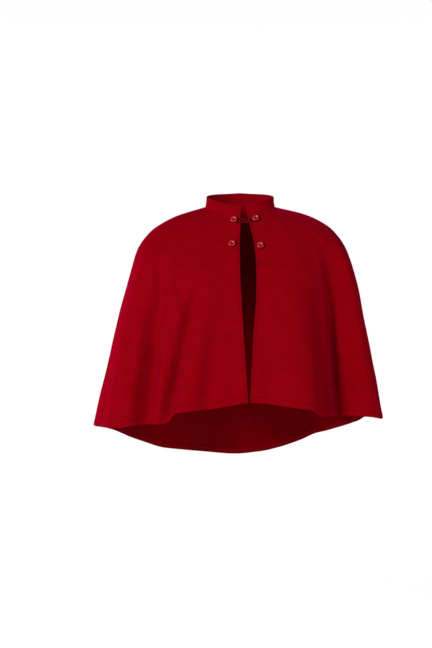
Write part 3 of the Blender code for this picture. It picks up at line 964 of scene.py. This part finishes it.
# ---------------------------------------------------------------------------
# Stitching
# ---------------------------------------------------------------------------
def stitch_tree():
    """Geometry Nodes that lay a row of stitches along every line of a mesh."""
    tree = bpy.data.node_groups.new("Row of stitches", "GeometryNodeTree")
    ports = tree.interface
    ports.new_socket("Lines", in_out="INPUT", socket_type="NodeSocketGeometry")
    for name, default in (("Pitch", 3.4 * MM), ("Length", 2.6 * MM), ("Thread", 0.5 * MM)):
        port = ports.new_socket(name, in_out="INPUT", socket_type="NodeSocketFloat")
        port.subtype = "DISTANCE"
        port.default_value = default
        port.min_value = 0.0001
    ports.new_socket("Material", in_out="INPUT", socket_type="NodeSocketMaterial")
    ports.new_socket("Stitches", in_out="OUTPUT", socket_type="NodeSocketGeometry")
    nodes = Nodes(tree)
    given = tree.nodes.new("NodeGroupInput")
    asked = {socket.name: Wire(nodes, socket) for socket in given.outputs if socket.name}
    line = nodes.add("GeometryNodeMeshToCurve", {}, {"Mesh": asked["Lines"]})
    spaced = nodes.add("GeometryNodeResampleCurve", {"mode": "LENGTH"},
                       {"Curve": line, "Length": asked["Pitch"]})
    ball = nodes.add("GeometryNodeMeshUVSphere", {}, {"Segments": 8, "Rings": 5, "Radius": 0.5})
    size = nodes.add("ShaderNodeCombineXYZ", {},
                     {"X": asked["Thread"], "Y": asked["Thread"], "Z": asked["Length"]})
    stitch = nodes.add("GeometryNodeTransform", {}, {"Geometry": ball, "Scale": size})
    tangent = nodes.add("GeometryNodeInputTangent", {}, {})
    turn = nodes.add("FunctionNodeAlignRotationToVector", {"axis": "Z"}, {"Vector": tangent})
    laid = nodes.add("GeometryNodeInstanceOnPoints", {},
                     {"Points": spaced, "Instance": stitch, "Rotation": turn})
    real = nodes.add("GeometryNodeRealizeInstances", {}, {"Geometry": laid})
    smooth = nodes.add("GeometryNodeSetShadeSmooth", {}, {"Geometry": real})
    done = nodes.add("GeometryNodeSetMaterial", {}, {"Geometry": smooth, "Material": asked["Material"]})
    output = tree.nodes.new("NodeGroupOutput")
    tree.links.new(done.socket, output.inputs[0])
    return tree


def sewn_lines(name, lines, cloth, material, tree):
    """Rows of stitches along lines of points, as one plain mesh."""
    verts = [tuple(point) for line in lines for point in line]
    edges, first = [], 0
    for line in lines:
        numbers = range(first, first + len(line))
        edges += zip(numbers, numbers[1:])
        first += len(line)
    mesh = bpy.data.meshes.new(name + "_lines")
    mesh.from_pydata(verts, edges, [])
    guide = bpy.data.objects.new(name + "_lines", mesh)
    bpy.context.scene.collection.objects.link(guide)
    modifier = guide.modifiers.new("Stitches", "NODES")
    modifier.node_group = tree
    wanted = {"Pitch": cloth.stitch_pitch, "Length": cloth.stitch_length,
              "Thread": cloth.thread, "Material": material}
    for item in tree.interface.items_tree:
        if item.in_out == "INPUT" and item.name in wanted:
            modifier[item.identifier] = wanted[item.name]
    evaluated = guide.evaluated_get(bpy.context.evaluated_depsgraph_get())
    sewn = bpy.data.meshes.new_from_object(evaluated)
    sewn.name = name
    bpy.data.objects.remove(guide, do_unlink=True)
    piece = bpy.data.objects.new(name, sewn)
    bpy.context.scene.collection.objects.link(piece)
    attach(piece, BODY)
    return piece


def edge_line(front, distance, lift):
    """Points along a front's open edge, in from it by a distance and off the cloth."""
    run = np.linspace(*STITCH_RUNS, EDGE_LINE_POINTS)
    edge = edge_azimuth(front, run)
    inward = 1 if front == "left" else -1
    azimuth = edge + inward * distance / round_speed(edge, run)
    return lifted(azimuth, run, lift)


def hem_line(panel, distance, lift):
    """Points along a panel's hem, up from it by a distance and off the cloth."""
    azimuth = panel_azimuths(panel, 1.0, HEM_LINE_COLUMNS)
    edge, seam = len(EDGE_STEPS) - 1, len(SEAM_STEPS)
    azimuth = azimuth[seam:-edge] if panel == "front_right" else azimuth[edge:-seam]
    length = run_speed(azimuth, np.full_like(azimuth, STITCH_RUNS[1]))
    return lifted(azimuth, 1 - distance / length, lift)


def collar_line(cloth, lift):
    """Points along the collar's topstitching: up one end, round the rim and down the other."""
    inset = cloth.collar_stitch
    azimuth = collar_azimuths(COLLAR_LINE_COLUMNS)
    speed = float(round_speed(azimuth[0], 0.0))
    start = azimuth[0] + inset / speed
    end = azimuth[-1] - inset / speed
    rim_up = 1 - inset / cloth.collar_height
    ups = np.linspace(COLLAR_LINE_FOOT, rim_up, COLLAR_END_POINTS)
    rim = np.linspace(start, end, COLLAR_RIM_POINTS)[1:-1]
    path_azimuth = np.concatenate([np.full_like(ups, start), rim, np.full_like(ups, end)])
    path_up = np.concatenate([ups, np.full_like(rim, rim_up), ups[::-1]])
    whole = np.concatenate([azimuth, path_azimuth])
    point, outward = collar_points(whole, np.concatenate([np.zeros_like(azimuth), path_up]), cloth)
    return (point + outward * lift)[len(azimuth):]


# ---------------------------------------------------------------------------
# Buttons and loop
# ---------------------------------------------------------------------------
def make_button(button, cloth, fastening, material):
    """Turned button with a faceted rim and a dished face, standing on its shank."""
    profile = np.array(BUTTON_PROFILE) * MM
    radius, height = profile[1:-1].T[:, :, None]
    angles = np.arange(fastening.steps) * 2 * math.pi / fastening.steps
    on_rim = soft_bump((radius - FACET_RIM * MM) / (FACET_REACH * MM)) * (height > FACET_FOOT * MM)
    facets = np.abs(np.cos(angles * BUTTON_FACETS / 2 + math.radians(button.turn)))
    facets = on_rim * ((facets - FACET_PROUD) * fastening.facet_depth)
    rings_r = radius - FACET_SIDEWAYS * facets
    rings = np.stack([rings_r * np.cos(angles), rings_r * np.sin(angles), height + facets], axis=-1)
    ends = [[0, 0, profile[0, 1]], [0, 0, profile[-1, 1]]]
    local = np.concatenate([rings.reshape(-1, 3), ends])

    azimuth, run = front_place(button.x, button.height)
    normal = Vector(cape_normals(azimuth, run))
    seat = Vector(cape_points(azimuth, run)) + normal * (cloth.wall / 2 + BUTTON_SEAT * MM)
    turn = np.array(normal.to_track_quat("Z", "Y").to_matrix())
    verts = local @ turn.T + np.array(seat)
    faces = tube_faces(len(radius), fastening.steps)
    piece = new_piece(button.name + "_moulded", verts, faces, material)
    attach(piece, BODY)
    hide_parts(button.name)
    return piece


def smooth_route(points, spacing):
    """Evenly spaced points along a smooth curve through the route's own points."""
    padded = np.concatenate([[2 * points[0] - points[1]], points, [2 * points[-1] - points[-2]]])
    u = (np.arange(ROUTE_STEPS) / ROUTE_STEPS)[:, None]
    dense = []
    for p0, p1, p2, p3 in zip(padded, padded[1:], padded[2:], padded[3:]):
        square = (2 * p0 - 5 * p1 + 4 * p2 - p3) * u * u
        cube = (3 * p1 - p0 - 3 * p2 + p3) * u ** 3
        dense.append(0.5 * ((2 * p1) + (p2 - p0) * u + square + cube))
    dense = np.concatenate([*dense, points[-1:]])
    along = np.concatenate([[0], np.cumsum(np.linalg.norm(np.diff(dense, axis=0), axis=1))])
    at = np.linspace(0, along[-1], max(2, round(along[-1] / spacing)) + 1)
    return np.stack([np.interp(at, along, dense[:, axis]) for axis in range(3)], axis=1), along[-1]


def swept_tube(path, radius, sides):
    """Rings of a tube round a path, with a side direction carried along it."""
    tangents = unit(np.gradient(path, axis=0))
    angles = (np.arange(sides) * 2 * math.pi / sides)[:, None]
    side = np.cross(tangents[0], [0.0, 1.0, 0.0])
    rings = []
    for point, tangent in zip(path, tangents):
        side = side - tangent * float(side @ tangent)
        side = side / np.linalg.norm(side)
        up = np.cross(tangent, side)
        rings.append(point + radius * (np.cos(angles) * side + np.sin(angles) * up))
    return np.array(rings)


def make_loop(cloth, fastening, material):
    """Cord loop of two twisted strands round the upper left button."""
    points = []
    for stop in LOOP_ROUTE:
        azimuth, run = front_place(stop.x, stop.height)
        points.append(lifted(azimuth, run, cloth.wall / 2 + stop.stand_off * MM))
    route, length = smooth_route(np.array(points), ROUTE_SPACING * MM)
    guide = swept_tube(route, fastening.cord * STRAND_OFFSET, sides=4)
    side = (guide[:, 0] - guide[:, 2]) / 2
    up = (guide[:, 1] - guide[:, 3]) / 2
    along = np.linspace(0, length, len(route))
    round_strand = np.arange(STRAND_SIDES) / STRAND_SIDES * STRAND_ROUND * MM
    verts, faces, coords = [], [], []
    for phase in (0.0, math.pi):
        turn = (along / fastening.twist * 2 * math.pi + phase)[:, None]
        path = route + side * np.cos(turn) + up * np.sin(turn)
        rings = swept_tube(path, fastening.cord * STRAND_RADIUS, STRAND_SIDES)
        faces += tube_faces(len(rings), STRAND_SIDES, first=len(verts), flipped=True)
        verts += [*rings.reshape(-1, 3), path[0], path[-1]]
        coords += [(place, across) for place in along for across in round_strand]
        coords += [(0.0, 0.0), (length, 0.0)]
    piece = new_piece("loop_cord", np.array(verts), faces, material, np.array(coords))
    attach(piece, BODY)
    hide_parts("loop")
    return piece


class CAPE_OT_panels(bpy.types.Operator):
    """Build the two fronts and the back with their hems and topstitching"""

    bl_idname = "cape.panels"
    bl_label = "Fronts and back"

    def execute(self, context):
        cloth = context.scene.cape_cloth
        wool = wool_material(cloth)
        thread = thread_material(cloth)
        tree = stitch_tree()
        lift = cloth.wall / 2 + THREAD_LIFT * MM
        for panel in ("front_right", "front_left", "back"):
            piece = make_panel(panel, cloth, wool)
            lines = [hem_line(panel, cloth.hem_depth, lift)]
            if panel != "back":
                lines.append(edge_line(panel.split("_")[1], cloth.edge_stitch, lift))
            sewn = sewn_lines(panel + "_stitching", lines, cloth, thread, tree)
        return {"FINISHED"}


class CAPE_OT_collar(bpy.types.Operator):
    """Build the stand collar with its topstitching"""

    bl_idname = "cape.collar"
    bl_label = "Collar"

    def execute(self, context):
        cloth = context.scene.cape_cloth
        piece = make_collar(cloth, bpy.data.materials["Red wool"])
        lines = [collar_line(cloth, cloth.collar_wall / 2)]
        tree = bpy.data.node_groups["Row of stitches"]
        sewn = sewn_lines("collar_stitching", lines, cloth, bpy.data.materials["Red thread"], tree)
        return {"FINISHED"}


class CAPE_OT_fastenings(bpy.types.Operator):
    """Build the four buttons and the cord loop"""

    bl_idname = "cape.fastenings"
    bl_label = "Buttons and loop"

    def execute(self, context):
        cloth = context.scene.cape_cloth
        fastening = context.scene.cape_fastening
        glossy = button_material(fastening)
        for button in BUTTONS:
            make_button(button, cloth, fastening, glossy)
        make_loop(cloth, fastening, cord_material(fastening))
        return {"FINISHED"}


class CAPE_OT_stage(bpy.types.Operator):
    """Set the floor, the soft light and the camera"""

    bl_idname = "cape.stage"
    bl_label = "Floor, light and camera"

    def execute(self, context):
        stage = context.scene.cape_stage
        scene = context.scene
        bpy.ops.mesh.primitive_circle_add(
            vertices=128, radius=stage.floor_reach, fill_type="NGON", location=(0, 0, 0))
        floor = context.object
        floor.name = "studio_floor"
        floor.data.transform(floor.matrix_world)
        floor.location = (0.0, 0.0, -stage.floor_drop)
        floor.data.materials.append(floor_material(stage))

        world = bpy.data.worlds.new("Even studio light")
        world.use_nodes = True
        background = world.node_tree.nodes["Background"]
        background.inputs["Color"].default_value = (1.0, 1.0, 1.0, 1.0)
        nodes = Nodes(world.node_tree)
        toward = nodes.add("ShaderNodeTexCoord", {}, {}, output="Generated")
        height = nodes.add("ShaderNodeSeparateXYZ", {}, {"Vector": toward}, output="Z")
        ceiling = nodes.add("ShaderNodeMapRange", {"interpolation_type": "SMOOTHSTEP"}, {
            "Value": height, "From Min": CEILING_START, "From Max": CEILING_END,
            "To Min": stage.ambient, "To Max": stage.ceiling})
        nodes.tree.links.new(ceiling.socket, background.inputs["Strength"])
        scene.world = world

        for name, place, size, share in LAMPS:
            light = bpy.data.lights.new(name, "AREA")
            light.shape = "DISK"
            light.size = size
            light.energy = stage.key * share
            lamp = bpy.data.objects.new(name, light)
            lamp.location = place
            aim = Vector(LAMP_AIM) - Vector(place)
            lamp.rotation_euler = aim.to_track_quat("-Z", "Y").to_euler()
            scene.collection.objects.link(lamp)

        camera_data = bpy.data.cameras.new("camera")
        camera_data.lens = stage.lens
        camera_data.sensor_width = 36.0
        camera = bpy.data.objects.new("camera", camera_data)
        camera.location = (CAMERA_X, -stage.camera_distance, CAMERA_HEIGHT)
        camera.rotation_euler = (math.radians(90), 0, 0)
        scene.collection.objects.link(camera)
        scene.camera = camera
        scene.view_settings.view_transform = "Standard"
        return {"FINISHED"}


class CAPE_PT_panel(bpy.types.Panel):
    """Sizes, colours and steps of the cape"""

    bl_idname = "CAPE_PT_panel"
    bl_label = "Wool cape"
    bl_space_type = "VIEW_3D"
    bl_region_type = "UI"
    bl_category = "Cape"

    def draw(self, context):
        for group_name in GROUPS:
            group = getattr(context.scene, group_name)
            box = self.layout.box()
            for name in group.__annotations__:
                box.prop(group, name)
        for step in STEPS:
            self.layout.operator(step)


GROUPS = {
    "cape_cloth": CapeClothSettings,
    "cape_fastening": CapeFasteningSettings,
    "cape_stage": CapeStageSettings,
}
STEPS = ["cape.panels", "cape.collar", "cape.fastenings", "cape.stage"]
CLASSES = [
    *GROUPS.values(), CAPE_OT_panels, CAPE_OT_collar, CAPE_OT_fastenings, CAPE_OT_stage, CAPE_PT_panel]


def register():
    """Add the settings, operators and panel to Blender."""
    for item in CLASSES:
        bpy.utils.register_class(item)
    for name, group in GROUPS.items():
        setattr(bpy.types.Scene, name, PointerProperty(type=group))


def unregister():
    """Take the settings, operators and panel away again."""
    for name in GROUPS:
        delattr(bpy.types.Scene, name)
    for item in reversed(CLASSES):
        bpy.utils.unregister_class(item)


def main():
    """Build the cape and its stage."""
    register()
    for item in list(bpy.data.objects):
        if item.type in {"CAMERA", "LIGHT"}:
            bpy.data.objects.remove(item, do_unlink=True)
    bpy.ops.cape.panels()
    bpy.ops.cape.collar()
    bpy.ops.cape.fastenings()
    bpy.ops.cape.stage()
    bpy.context.view_layer.update()


if __name__ == "__main__":
    main()
